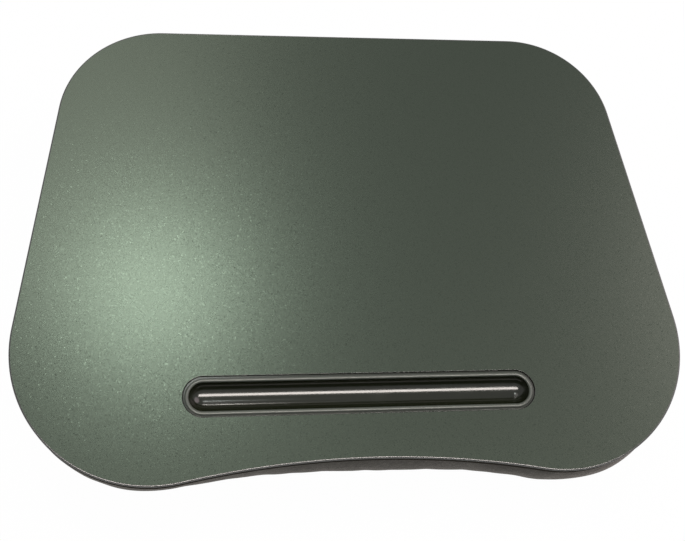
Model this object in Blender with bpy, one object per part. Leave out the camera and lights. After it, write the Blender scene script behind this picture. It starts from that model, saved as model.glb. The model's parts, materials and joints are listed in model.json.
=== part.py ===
"""A cushioned lap desk: a thin board with a belly curve and a pen tray, bonded to a filled cushion.

Metres, +Z up. The origin is the middle of the footprint, on the surface that the cushion rests on,
and the person sits at -Y, where the board's edge curves in.

From the top down the desk comes apart as board and pen tray, three strips of mounting tape, the
cushion's backing panel, the cover (two side bands and a bottom panel) and the bag of fill inside it.
"""

import math

import bmesh
import bpy
from mathutils import Vector

# Fits
SEAT_GAP = 0.0003
CUT_OVERRUN = 0.002

# Board
BOARD_WIDTH = 0.380
BOARD_DEPTH = 0.276
BOARD_THICKNESS = 0.006
BOARD_EDGE_ROUND = 0.0018
BACK_EDGE_STRAIGHT = 0.218
BACK_CORNER_RADIUS = 0.061
FRONT_LOBE_RADIUS = 0.0773
BELLY_DEPTH = 0.0115
CUSHION_HEIGHT = 0.054

# Pen tray, a moulded insert whose flange lies just under flush in a rebate
TRAY_LENGTH = 0.1966
TRAY_WIDTH = 0.0216
TRAY_SETBACK = 0.0472
TRAY_WALL = 0.0012
TRAY_TO_FILL = 0.0017
FLANGE_THICKNESS = 0.0015
FLANGE_REACH = 0.0033
FLANGE_SINK = 0.0002
FLANGE_EDGE_ROUND = 0.0005
LIP_ROUND = 0.0010
TROUGH_DRAFT = 0.0008
TROUGH_FLOOR_ROUND = 0.0045
TROUGH_FLAT = 0.001

# Backing panel and the tape that holds it under the board
BACKING_THICKNESS = 0.003
BACKING_INSET = 0.009
TAPE_WIDTH = 0.025
TAPE_TO_TRAY = 0.0112
TAPE_TO_HEM = 0.0178
TAPE_END_ROOM = 0.021

# Cushion cover: its hem's room, its bulge at each stretch of the outline, its seam and its foot
FABRIC_THICKNESS = 0.0012
HEM_TO_TRAY = 0.003
BELLY_BULGE = 0.0110
LOBE_BULGE = 0.0074
LOBE_SIDE_BULGE = 0.0094
SIDE_BULGE = 0.0080
CORNER_BULGE = 0.0072
BACK_BULGE = 0.0082
SEAM_HEIGHT = 0.010
SEAM_INSET = 0.010
SEAM_LIP = 0.0015
FOOT_REACH = 0.030

# The power of the sine that the bulge follows: below 1 it is fuller than a half wave
BULGE_POWER = 0.8

# Facets and edges
CORNER_STEPS = 5
LOBE_STEPS = 6
LOBE_INNER_STEPS = 2
BELLY_STEPS = 6
STRAIGHT_STEPS = 2
EDGE_ROUND_STEPS = 3
TRAY_END_STEPS = 16
TRAY_ROUND_STEPS = 4
WRAP_STEPS = 2
BULGE_STEPS = 8
FOOT_STEPS = 5
SMOOTH_ANGLE = math.radians(35)
ROUNDED_ANGLE = math.radians(60)

# Heights and places that follow from the sizes above
BOARD_TOP = CUSHION_HEIGHT + BOARD_THICKNESS
HEM_TOP = CUSHION_HEIGHT - SEAT_GAP
HEM_BOTTOM = HEM_TOP - FABRIC_THICKNESS
BACKING_TOP = HEM_BOTTOM - SEAT_GAP
BACKING_BOTTOM = BACKING_TOP - BACKING_THICKNESS
FILL_TOP = BACKING_BOTTOM - SEAT_GAP
WRAP_RADIUS = FABRIC_THICKNESS + SEAT_GAP
TRAY_Y = TRAY_SETBACK - BOARD_DEPTH / 2
FLANGE_TOP = BOARD_TOP - FLANGE_SINK
FLANGE_BOTTOM = FLANGE_TOP - FLANGE_THICKNESS
REBATE_FLOOR = FLANGE_BOTTOM - SEAT_GAP
TROUGH_FLOOR = FILL_TOP + TRAY_TO_FILL + TRAY_WALL
TROUGH_SKIN = FLANGE_REACH - TRAY_WALL
TROUGH_SETBACK = TRAY_SETBACK - TRAY_WIDTH / 2 + TROUGH_SKIN
HEM_INSET = TROUGH_SETBACK - HEM_TO_TRAY - BELLY_DEPTH

# Colours and finishes: colour, roughness, metallic
GRAPHITE_FILM = ("graphite_film", (0.075, 0.085, 0.072, 1), 0.42, 0.2)
GLOSS_PLASTIC = ("gloss_plastic", (0.030, 0.033, 0.026, 1), 0.12, 0.0)
CHARCOAL_FABRIC = ("charcoal_fabric", (0.045, 0.042, 0.038, 1), 0.95, 0.0)
HARDBOARD = ("hardboard", (0.230, 0.140, 0.075, 1), 0.80, 0.0)
FOAM_TAPE = ("foam_tape", (0.700, 0.690, 0.650, 1), 0.70, 0.0)
BAG_LINER = ("bag_liner", (0.720, 0.720, 0.700, 1), 0.85, 0.0)


def clear_scene():
    """Removes whatever the scene holds."""
    for thing in list(bpy.data.objects):
        bpy.data.objects.remove(thing, do_unlink=True)


def finish_of(spec):
    """The material of a finish, made once."""
    name, colour, roughness, metallic = spec
    material = bpy.data.materials.get(name)
    if material is None:
        material = bpy.data.materials.new(name)
        material.use_nodes = True
        shader = material.node_tree.nodes["Principled BSDF"]
        shader.inputs["Base Color"].default_value = colour
        shader.inputs["Roughness"].default_value = roughness
        shader.inputs["Metallic"].default_value = metallic
    return material


def add_object(name, mesh_data, finish):
    """Turns a finished bmesh into a named object, shaded smooth up to sharp edges."""
    mesh = bpy.data.meshes.new(name)
    mesh_data.to_mesh(mesh)
    mesh_data.free()
    mesh.shade_smooth()
    mesh.set_sharp_from_angle(angle=SMOOTH_ANGLE)
    mesh.materials.append(finish_of(finish))
    thing = bpy.data.objects.new(name, mesh)
    bpy.context.scene.collection.objects.link(thing)
    return thing


def arc(centre, radius, start, end, steps):
    """Points and outward normals along an arc in a plane, angles in radians."""
    made = []
    for step in range(steps + 1):
        angle = start + (end - start) * step / steps
        normal = Vector((math.cos(angle), math.sin(angle)))
        made.append((Vector(centre) + radius * normal, normal))
    return made


def straight(start, end):
    """Points and normals along a straight, for an outline that runs clockwise seen from above."""
    start, end = Vector(start), Vector(end)
    along = (end - start).normalized()
    normal = Vector((-along.y, along.x))
    return [(start.lerp(end, step / STRAIGHT_STEPS), normal) for step in range(STRAIGHT_STEPS + 1)]


def with_bulge(points, first, last):
    """Adds a bulge that eases from first to last along a stretch."""
    made = []
    for step, (point, normal) in enumerate(points):
        share = step / (len(points) - 1)
        eased = share * share * (3 - 2 * share)
        made.append((point, normal, first + (last - first) * eased))
    return made


class Outline:
    """The board's outline as tangent arcs, with a normal and a cushion bulge at each point.

    The points run round the right half from the middle of the back edge to the middle of the
    belly curve, then back up the left half. Because every stretch is an arc or a straight, moving
    each point along its normal gives a true parallel outline.
    """

    def __init__(self):
        right = self.right_half()
        left = [(Vector((-p.x, p.y)), Vector((-n.x, n.y)), bulge) for p, n, bulge in right[-2:0:-1]]
        self.points = right + left
        self.side_middle = STRAIGHT_STEPS + 2 * CORNER_STEPS + STRAIGHT_STEPS // 2

    def right_half(self):
        """Point, normal and bulge from the middle of the back to the middle of the belly."""
        back_y = BOARD_DEPTH / 2
        corner = Vector((BACK_EDGE_STRAIGHT / 2, back_y - BACK_CORNER_RADIUS))
        lobe = Vector((BOARD_WIDTH / 2 - FRONT_LOBE_RADIUS, FRONT_LOBE_RADIUS - back_y))
        side_angle = self.side_normal(corner - lobe)
        reach = (lobe.x**2 + BELLY_DEPTH**2) / (2 * BELLY_DEPTH)
        belly_radius = reach - FRONT_LOBE_RADIUS
        belly = Vector((0, BELLY_DEPTH - back_y - belly_radius))
        join_angle = math.atan2(lobe.y - belly.y, lobe.x)
        up, down = math.pi / 2, -math.pi / 2
        corner_middle = (up + side_angle) / 2
        lobe_middle = (side_angle + down) / 2

        back = straight((0, back_y), (corner.x, back_y))
        corner_back = arc(corner, BACK_CORNER_RADIUS, up, corner_middle, CORNER_STEPS)
        corner_side = arc(corner, BACK_CORNER_RADIUS, corner_middle, side_angle, CORNER_STEPS)
        lobe_side = arc(lobe, FRONT_LOBE_RADIUS, side_angle, lobe_middle, LOBE_STEPS)
        lobe_front = arc(lobe, FRONT_LOBE_RADIUS, lobe_middle, down, LOBE_STEPS)
        lobe_inner = arc(lobe, FRONT_LOBE_RADIUS, down, join_angle - math.pi, LOBE_INNER_STEPS)
        curve_in = arc(belly, belly_radius, join_angle, up, BELLY_STEPS)
        curve_in = [(point, -normal) for point, normal in curve_in]
        side = straight(corner_side[-1][0], lobe_side[0][0])

        made = with_bulge(back, BACK_BULGE, BACK_BULGE)
        made += with_bulge(corner_back, BACK_BULGE, CORNER_BULGE)[1:]
        made += with_bulge(corner_side, CORNER_BULGE, SIDE_BULGE)[1:]
        made += with_bulge(side, SIDE_BULGE, SIDE_BULGE)[1:]
        made += with_bulge(lobe_side, SIDE_BULGE, LOBE_SIDE_BULGE)[1:]
        made += with_bulge(lobe_front, LOBE_SIDE_BULGE, LOBE_BULGE)[1:]
        made += with_bulge(lobe_inner, LOBE_BULGE, LOBE_BULGE)[1:]
        made += with_bulge(curve_in, LOBE_BULGE, BELLY_BULGE)[1:]
        return made

    def side_normal(self, lobe_to_corner):
        """The angle of the normal of the straight that touches both the lobe and the corner."""
        drop = FRONT_LOBE_RADIUS - BACK_CORNER_RADIUS
        return math.atan2(lobe_to_corner.y, lobe_to_corner.x) - math.acos(drop / lobe_to_corner.length)

    def ring(self, inset, height, bulge_share=0.0):
        """A closed ring at this inset and height; bulge_share pushes it out by the local bulge."""
        made = []
        for point, normal, bulge in self.points:
            moved = point - normal * (inset - bulge_share * bulge)
            made.append(Vector((moved.x, moved.y, height)))
        return made


class Stadium:
    """A slot shape with round ends, its middle on the tray's centre."""

    def __init__(self, length, width):
        radius = width / 2
        end_x = length / 2 - radius
        quarter = math.pi / 2
        self.points = arc((end_x, TRAY_Y), radius, -quarter, quarter, TRAY_END_STEPS)
        self.points += arc((-end_x, TRAY_Y), radius, quarter, 3 * quarter, TRAY_END_STEPS)

    def ring(self, inset, height):
        """A closed ring at this inset and height."""
        made = []
        for point, normal in self.points:
            moved = point - normal * inset
            made.append(Vector((moved.x, moved.y, height)))
        return made


def add_rings(mesh_data, rings, closed=True):
    """Bridges rings of equal length with quads; returns the rows of vertices."""
    rows = [[mesh_data.verts.new(point) for point in ring] for ring in rings]
    count = len(rows[0])
    for lower, upper in zip(rows, rows[1:]):
        for here in range(count if closed else count - 1):
            after = (here + 1) % count
            mesh_data.faces.new((lower[here], lower[after], upper[after], upper[here]))
    return rows


def capped_mesh(rings):
    """A closed mesh through rings, capped at its first and last ring, its faces pointing out."""
    mesh_data = bmesh.new()
    rows = add_rings(mesh_data, rings)
    mesh_data.faces.new(rows[0])
    mesh_data.faces.new(rows[-1])
    bmesh.ops.recalc_face_normals(mesh_data, faces=mesh_data.faces)
    return mesh_data


def lofted(name, rings, finish):
    """A closed solid through rings."""
    return add_object(name, capped_mesh(rings), finish)


def add_cutter(name, rings):
    """A solid that only cuts: it isn't rendered and shows as wire."""
    cutter = lofted(name, rings, HARDBOARD)
    cutter.hide_render = True
    cutter.display_type = "WIRE"
    return cutter


def cut(thing, cutter):
    """Takes the cutter away from thing."""
    modifier = thing.modifiers.new("cut_" + cutter.name, "BOOLEAN")
    modifier.operation = "DIFFERENCE"
    modifier.solver = "EXACT"
    modifier.object = cutter


def round_edges(thing, width):
    """Rounds the sharp edges of thing."""
    modifier = thing.modifiers.new("round_over", "BEVEL")
    modifier.width = width
    modifier.segments = EDGE_ROUND_STEPS
    modifier.limit_method = "ANGLE"
    modifier.angle_limit = ROUNDED_ANGLE


def fabric_piece(name, mesh_data):
    """A piece of cover fabric from its outside surface, thickened inwards."""
    middle = Vector((0, 0, CUSHION_HEIGHT / 2))
    bmesh.ops.recalc_face_normals(mesh_data, faces=mesh_data.faces)
    outward = sum((face.calc_center_median() - middle).dot(face.normal) for face in mesh_data.faces)
    if outward < 0:
        bmesh.ops.reverse_faces(mesh_data, faces=mesh_data.faces)
    piece = add_object(name, mesh_data, CHARCOAL_FABRIC)
    modifier = piece.modifiers.new("thickness", "SOLIDIFY")
    modifier.thickness = FABRIC_THICKNESS
    modifier.offset = -1
    modifier.use_even_offset = True
    modifier.use_quality_normals = True


def make_board(outline):
    """The board, its rounded rim, and the rebated slot that the pen tray drops into."""
    rings = [outline.ring(0, CUSHION_HEIGHT), outline.ring(0, BOARD_TOP)]
    board = lofted("desk_board", rings, GRAPHITE_FILM)
    round_edges(board, BOARD_EDGE_ROUND)

    rebate = Stadium(TRAY_LENGTH + 2 * SEAT_GAP, TRAY_WIDTH + 2 * SEAT_GAP)
    cutter = add_cutter(
        "tray_slot_cutter",
        [
            rebate.ring(TROUGH_SKIN, CUSHION_HEIGHT - CUT_OVERRUN),
            rebate.ring(TROUGH_SKIN, REBATE_FLOOR),
            rebate.ring(0, REBATE_FLOOR),
            rebate.ring(0, BOARD_TOP + CUT_OVERRUN),
        ],
    )
    cut(board, cutter)


def section_round(centre, radius, start, end):
    """Points of a quarter circle in the (inset, height) plane, angles in degrees."""
    points = arc(centre, radius, math.radians(start), math.radians(end), TRAY_ROUND_STEPS)
    return [(point.x, point.y) for point, _ in points]


def tray_section():
    """The tray's wall as (inset from the flange's rim, height).

    It runs from the trough's floor up the inside and out over the flange, then back under the
    flange and down to the outside of the floor. The floor's round leaves a flat strip between.
    """
    wall_foot = FLANGE_REACH + TROUGH_DRAFT
    floor_round = min(TROUGH_FLOOR_ROUND, TRAY_WIDTH / 2 - wall_foot - TROUGH_FLAT)
    floor_centre = (wall_foot + floor_round, TROUGH_FLOOR + floor_round)
    lip_centre = (FLANGE_REACH - LIP_ROUND, FLANGE_TOP - LIP_ROUND)
    rim_centre = (FLANGE_EDGE_ROUND, FLANGE_TOP - FLANGE_EDGE_ROUND)
    inside = section_round(floor_centre, floor_round, 270, 180)
    lip = section_round(lip_centre, LIP_ROUND, 0, 90)
    rim = section_round(rim_centre, FLANGE_EDGE_ROUND, 90, 180)
    under = [(0, FLANGE_BOTTOM), (TROUGH_SKIN, FLANGE_BOTTOM)]
    outside = section_round(floor_centre, floor_round + TRAY_WALL, 180, 270)
    return inside + lip + rim + under + outside


def make_pen_tray():
    """The glossy insert: a flat flange round a trough with a rounded floor and ends."""
    shape = Stadium(TRAY_LENGTH, TRAY_WIDTH)
    lofted("pen_tray", [shape.ring(inset, height) for inset, height in tray_section()], GLOSS_PLASTIC)


def make_backing(outline):
    """The hardboard panel that the cover's hem is wrapped and glued over."""
    rings = [outline.ring(BACKING_INSET, BACKING_BOTTOM), outline.ring(BACKING_INSET, BACKING_TOP)]
    backing = lofted("backing_panel", rings, HARDBOARD)
    slot = Stadium(TRAY_LENGTH, TRAY_WIDTH)
    cutter = add_cutter(
        "backing_slot_cutter",
        [
            slot.ring(TROUGH_SKIN - SEAT_GAP, BACKING_BOTTOM - CUT_OVERRUN),
            slot.ring(TROUGH_SKIN - SEAT_GAP, BACKING_TOP + CUT_OVERRUN),
        ],
    )
    cut(backing, cutter)


def make_tape_strips():
    """Three strips of foam tape under the board, spread between the pen tray and the rear hem."""
    end_x = BACK_EDGE_STRAIGHT / 2 + BACK_CORNER_RADIUS - HEM_INSET - TAPE_END_ROOM
    front_y = TRAY_Y + TRAY_WIDTH / 2 + TAPE_TO_TRAY + TAPE_WIDTH / 2
    rear_y = BOARD_DEPTH / 2 - HEM_INSET - TAPE_TO_HEM - TAPE_WIDTH / 2
    places = {"front": front_y, "middle": (front_y + rear_y) / 2, "rear": rear_y}
    for place, centre_y in places.items():
        front_edge, rear_edge = centre_y - TAPE_WIDTH / 2, centre_y + TAPE_WIDTH / 2
        corners = [(-end_x, front_edge), (end_x, front_edge), (end_x, rear_edge), (-end_x, rear_edge)]
        rings = [[Vector((x, y, height)) for x, y in corners] for height in (HEM_BOTTOM, HEM_TOP)]
        lofted("mounting_tape_" + place, rings, FOAM_TAPE)


def bulge_section():
    """The bulge as (inset, height, bulge share), from the backing's underside to the seam's lip."""
    top_inset = BACKING_INSET - WRAP_RADIUS
    low_height = SEAM_HEIGHT + SEAT_GAP + SEAM_LIP
    made = []
    for step in range(BULGE_STEPS + 1):
        share = step / BULGE_STEPS
        inset = top_inset + (SEAM_INSET - top_inset) * share
        height = BACKING_BOTTOM + (low_height - BACKING_BOTTOM) * share
        made.append((inset, height, math.sin(math.pi * share) ** BULGE_POWER))
    return made


def foot_section():
    """The cover's rounded foot as (inset, height, bulge share), from the lip to the flat base."""
    lip_height = SEAM_HEIGHT - SEAM_LIP
    made = []
    for step in range(FOOT_STEPS + 1):
        angle = math.pi / 2 * step / FOOT_STEPS
        inset = SEAM_INSET + FOOT_REACH * (1 - math.cos(angle))
        made.append((inset, lip_height * (1 - math.sin(angle)), 0))
    return made


def band_section():
    """The outside of a side band: the hem, the wrap round the backing's edge, the bulge, the lip."""
    hem_end = (HEM_INSET, HEM_TOP, 0)
    turned = arc((BACKING_INSET, BACKING_TOP), WRAP_RADIUS, math.pi / 2, math.pi, WRAP_STEPS)
    wrap = [(point.x, point.y, 0) for point, _ in turned]
    lip = (SEAM_INSET, SEAM_HEIGHT + SEAT_GAP, 0)
    return [hem_end] + wrap + bulge_section() + [lip]


def make_side_bands(outline):
    """The two strips of cover fabric round the cushion, which meet half way along its sides."""
    rings = [outline.ring(*place) for place in band_section()]
    total = len(outline.points)
    join = outline.side_middle
    front = list(range(join, total - join + 1))
    rear = list(range(total - join, total)) + list(range(join + 1))
    for name, picked in (("side_band_front", front), ("side_band_rear", rear)):
        strips = [[ring[here].copy() for here in picked] for ring in rings]
        if name == "side_band_rear":
            strips = [drawn_back(strip) for strip in strips]
        mesh_data = bmesh.new()
        add_rings(mesh_data, strips, closed=False)
        fabric_piece(name, mesh_data)


def drawn_back(strip):
    """A strip shortened by the seat gap at both ends, so that it clears the strip it meets."""
    for end, inner in ((0, 1), (-1, -2)):
        along = (strip[inner] - strip[end]).normalized()
        strip[end] = strip[end] + along * SEAT_GAP
    return strip


def make_bottom_panel(outline):
    """The cover's bottom panel: a dish with a lip at the seam, flat where it rests."""
    section = [(SEAM_INSET, SEAM_HEIGHT, 0)] + foot_section()
    mesh_data = bmesh.new()
    rows = add_rings(mesh_data, [outline.ring(*place) for place in section])
    mesh_data.faces.new(rows[-1])
    fabric_piece("bottom_panel", mesh_data)


def make_fill_bag(outline):
    """The liner bag of fill: one soft solid just inside the cover, up to the backing panel."""
    mesh_data = capped_mesh([outline.ring(*place) for place in bulge_section() + foot_section()])
    mesh_data.normal_update()
    lining = FABRIC_THICKNESS + SEAT_GAP
    top_ring = outline.ring(BACKING_INSET + SEAT_GAP, FILL_TOP)
    inner = [vert.co - vert.normal * vert.calc_shell_factor() * lining for vert in mesh_data.verts]
    for vert, place in zip(mesh_data.verts, top_ring + inner[len(top_ring) :]):
        vert.co = place
    add_object("fill_bag", mesh_data, BAG_LINER)


def main():
    """Builds every piece of the lap desk."""
    clear_scene()
    outline = Outline()
    make_board(outline)
    make_pen_tray()
    make_tape_strips()
    make_backing(outline)
    make_side_bands(outline)
    make_bottom_panel(outline)
    make_fill_bag(outline)


main()
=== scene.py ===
"""Looks of a cushioned lap desk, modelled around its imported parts.

Metres, +Z up. The cushion rests on the floor at z = 0 and the person sits at -Y, where the board's
edge curves in. Every new piece is drawn in place, so its object stays at the origin.
"""

from __future__ import annotations

import json
import logging
import math
from collections.abc import Callable, Iterable
from dataclasses import dataclass, field
from enum import Enum

import bmesh
import bpy
from mathutils import Matrix, Quaternion, Vector, noise

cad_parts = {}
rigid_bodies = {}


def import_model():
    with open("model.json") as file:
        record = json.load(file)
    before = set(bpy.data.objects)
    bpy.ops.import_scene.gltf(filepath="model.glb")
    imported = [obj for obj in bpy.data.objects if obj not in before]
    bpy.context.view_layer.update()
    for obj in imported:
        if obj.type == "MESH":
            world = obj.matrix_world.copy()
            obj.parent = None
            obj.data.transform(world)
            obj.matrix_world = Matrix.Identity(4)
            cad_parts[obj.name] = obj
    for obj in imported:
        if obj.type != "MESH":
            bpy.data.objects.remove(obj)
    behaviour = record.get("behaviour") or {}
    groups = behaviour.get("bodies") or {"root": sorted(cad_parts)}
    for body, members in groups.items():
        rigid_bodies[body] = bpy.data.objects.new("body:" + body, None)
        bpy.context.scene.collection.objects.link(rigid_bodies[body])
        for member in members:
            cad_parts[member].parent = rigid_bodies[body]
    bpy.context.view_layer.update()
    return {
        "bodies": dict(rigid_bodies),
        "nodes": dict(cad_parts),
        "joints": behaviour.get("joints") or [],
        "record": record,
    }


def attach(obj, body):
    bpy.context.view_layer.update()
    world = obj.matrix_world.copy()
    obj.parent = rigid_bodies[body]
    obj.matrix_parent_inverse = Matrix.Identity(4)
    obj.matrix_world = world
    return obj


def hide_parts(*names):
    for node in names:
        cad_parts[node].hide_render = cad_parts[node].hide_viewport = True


Piece = bpy.types.Object
Material = bpy.types.Material
Socket = bpy.types.NodeSocket
Face = bmesh.types.BMFace
Edge = bmesh.types.BMEdge

log = logging.getLogger("lap_desk")

BODY = "root"
STEEP = 0.5
MERGE_DISTANCE = 1e-6
SMOOTH_ANGLE = math.radians(35)
QUAD = 4
UP = Vector((0, 0, 1))
MIDDLE_TONES = (0.35, 0.65)


class Part(Enum):
    """What is picked in edit mode."""

    FACE = "faces"
    EDGE = "edges"


class Slot(Enum):
    """The names of the part's materials, which nothing here reads."""

    FILM = "graphite_film"
    TRAY = "tray_plastic"
    FABRIC = "cover_fabric"
    LINER = "bag_liner"


def make_active(piece: Piece) -> None:
    """Makes the piece the only selected one and the active one."""
    bpy.ops.object.select_all(action="DESELECT")
    piece.select_set(True)
    bpy.context.view_layer.objects.active = piece


def open_mesh(piece: Piece) -> None:
    """Opens the piece alone in edit mode."""
    make_active(piece)
    bpy.ops.object.mode_set(mode="EDIT")


def close_mesh() -> None:
    """Leaves edit mode."""
    bpy.ops.object.mode_set(mode="OBJECT")


def pick_all() -> None:
    """Selects all of the mesh in edit mode."""
    bpy.ops.mesh.select_all(action="SELECT")


def turn_out() -> None:
    """Points every face of the mesh in edit mode outwards."""
    pick_all()
    bpy.ops.mesh.normals_make_consistent(inside=False)


def raise_faces(rise: float) -> None:
    """Extrudes the selected faces straight up, or down where the rise is negative."""
    bpy.ops.mesh.extrude_region_move(TRANSFORM_OT_translate={"value": rise * UP})


def add_point(name: str, place: Vector) -> Piece:
    """Starts a piece as one selected point, in edit mode.

    Args:
        name: The new object's name.
        place: Where the point goes.

    Returns:
        The new object, at the origin.
    """
    bpy.ops.object.select_all(action="DESELECT")
    bpy.ops.mesh.primitive_plane_add(location=(0, 0, 0))
    piece = bpy.context.object
    piece.name = piece.data.name = name
    open_mesh(piece)
    bpy.ops.mesh.select_mode(type="VERT")
    pick_all()
    bpy.ops.mesh.merge(type="CENTER")
    bpy.ops.transform.translate(value=place)
    return piece


def draw_line(step: Vector) -> None:
    """Extrudes the selected point along a straight."""
    bpy.ops.mesh.extrude_vertices_move(TRANSFORM_OT_translate={"value": step})


def draw_arc(centre: Vector, turn: float, steps: int) -> None:
    """Spins the selected point round a centre.

    Args:
        centre: The arc's centre.
        turn: The angle to turn through, positive against the clock seen from above.
        steps: How many edges the arc gets.
    """
    bpy.ops.mesh.spin(steps=steps, angle=-turn, center=centre, axis=UP)


def fill_outline() -> None:
    """Merges the drawn points and fills the closed outline with one face."""
    pick_all()
    bpy.ops.mesh.remove_doubles(threshold=MERGE_DISTANCE)
    pick_all()
    bpy.ops.mesh.edge_face_add()


def pick(piece: Piece, part: Part, test: Callable[[Face | Edge], bool]) -> None:
    """Selects some of the faces or edges of the piece in edit mode.

    Args:
        piece: The piece.
        part: What to select.
        test: Says of a face or an edge whether it is wanted.
    """
    bpy.ops.mesh.select_mode(type=part.name)
    bpy.ops.mesh.select_all(action="DESELECT")
    mesh = bmesh.from_edit_mesh(piece.data)
    for candidate in getattr(mesh, part.value):
        if test(candidate):
            candidate.select_set(True)
    bmesh.update_edit_mesh(piece.data)


def sink_profile(profile: Iterable[tuple[float, float]]) -> None:
    """Insets the selected face again and again along a profile.

    Args:
        profile: Steps of (inset, height along the face's normal), both from the face at the start.
    """
    inset, height = 0.0, 0.0
    for next_inset, next_height in profile:
        bpy.ops.mesh.inset(thickness=next_inset - inset, depth=next_height - height)
        inset, height = next_inset, next_height


def face_out() -> None:
    """Leaves edit mode with every face pointing out and the mesh smooth up to its sharp edges."""
    turn_out()
    close_mesh()
    bpy.ops.object.shade_smooth_by_angle(angle=SMOOTH_ANGLE)


def copy_open(source: Piece, name: str) -> Piece:
    """Copies a piece with a mesh of its own and opens the copy in edit mode.

    Args:
        source: The piece to copy.
        name: The copy's name.

    Returns:
        The copy.
    """
    piece = source.copy()
    piece.data = source.data.copy()
    piece.name = piece.data.name = name
    bpy.context.scene.collection.objects.link(piece)
    open_mesh(piece)
    return piece


def coat(piece: Piece, *finishes: Material) -> None:
    """Gives a new piece its materials.

    Args:
        piece: The piece.
        finishes: Its materials. All of its faces get the first one.
    """
    piece.data.materials.clear()
    for finish in finishes:
        piece.data.materials.append(finish)
    for polygon in piece.data.polygons:
        polygon.material_index = 0


def apply_modifier(piece: Piece, kind: str, **settings: object) -> None:
    """Adds a modifier and applies it.

    Args:
        piece: The piece.
        kind: Blender's name for the kind of modifier.
        **settings: The modifier's settings.
    """
    make_active(piece)
    modifier = piece.modifiers.new(kind.lower(), kind)
    for name, value in settings.items():
        setattr(modifier, name, value)
    bpy.ops.object.modifier_apply(modifier=modifier.name)


def smoothstep(share: float) -> float:
    """Eases a share of 0 to 1 in and out."""
    share = min(max(share, 0.0), 1.0)
    return share * share * (3 - 2 * share)


class Graph:
    """A tree of shader nodes, added and linked one after the other."""

    def __init__(self, owner: Material | bpy.types.World) -> None:
        """Starts from the nodes that a new material or world has."""
        owner.use_nodes = True
        self.tree = owner.node_tree

    def add(self, kind: str, **inputs: object) -> bpy.types.Node:
        """Adds a node.

        Args:
            kind: Blender's name for the kind of node.
            **inputs: Its inputs, set where they are values and linked where they are sockets.

        Returns:
            The node.
        """
        node = self.tree.nodes.new(kind)
        for name, value in inputs.items():
            self.feed(node.inputs[name.replace("_", " ")], value)
        return node

    def feed(self, socket: Socket, value: object) -> None:
        """Links a socket to another, or gives it a plain value.

        Args:
            socket: The input to set.
            value: A plain value, or the socket that gives it.
        """
        if isinstance(value, Socket):
            self.tree.links.new(value, socket)
        else:
            socket.default_value = value

    def remap(self, value: Socket, span: tuple, to: tuple) -> Socket:
        """Maps a value from one span to another, clamped.

        Args:
            value: The value.
            span: The least and the most that it is.
            to: What these two become.

        Returns:
            The mapped value.
        """
        node = self.add("ShaderNodeMapRange")
        for socket, number in zip(list(node.inputs)[:5], (value, *span, *to)):
            self.feed(socket, number)
        return node.outputs["Result"]

    def math(self, operation: str, first: object, second: object) -> Socket:
        """The result of an operation on two numbers.

        Args:
            operation: Blender's name for the operation.
            first: The first number or socket.
            second: The second number or socket.

        Returns:
            The resulting number.
        """
        node = self.add("ShaderNodeMath")
        node.operation = operation
        self.feed(node.inputs[0], first)
        self.feed(node.inputs[1], second)
        return node.outputs["Value"]

    def seen_share(self) -> Socket:
        """Tells what is looked at from what only gives light.

        Returns:
            One where the camera, a gloss or a see-through surface looks, and zero for soft light.
        """
        path = self.add("ShaderNodeLightPath")
        total = path.outputs["Is Camera Ray"]
        for name in ("Is Glossy Ray", "Is Transmission Ray"):
            total = self.math("MAXIMUM", total, path.outputs[name])
        return total


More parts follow.
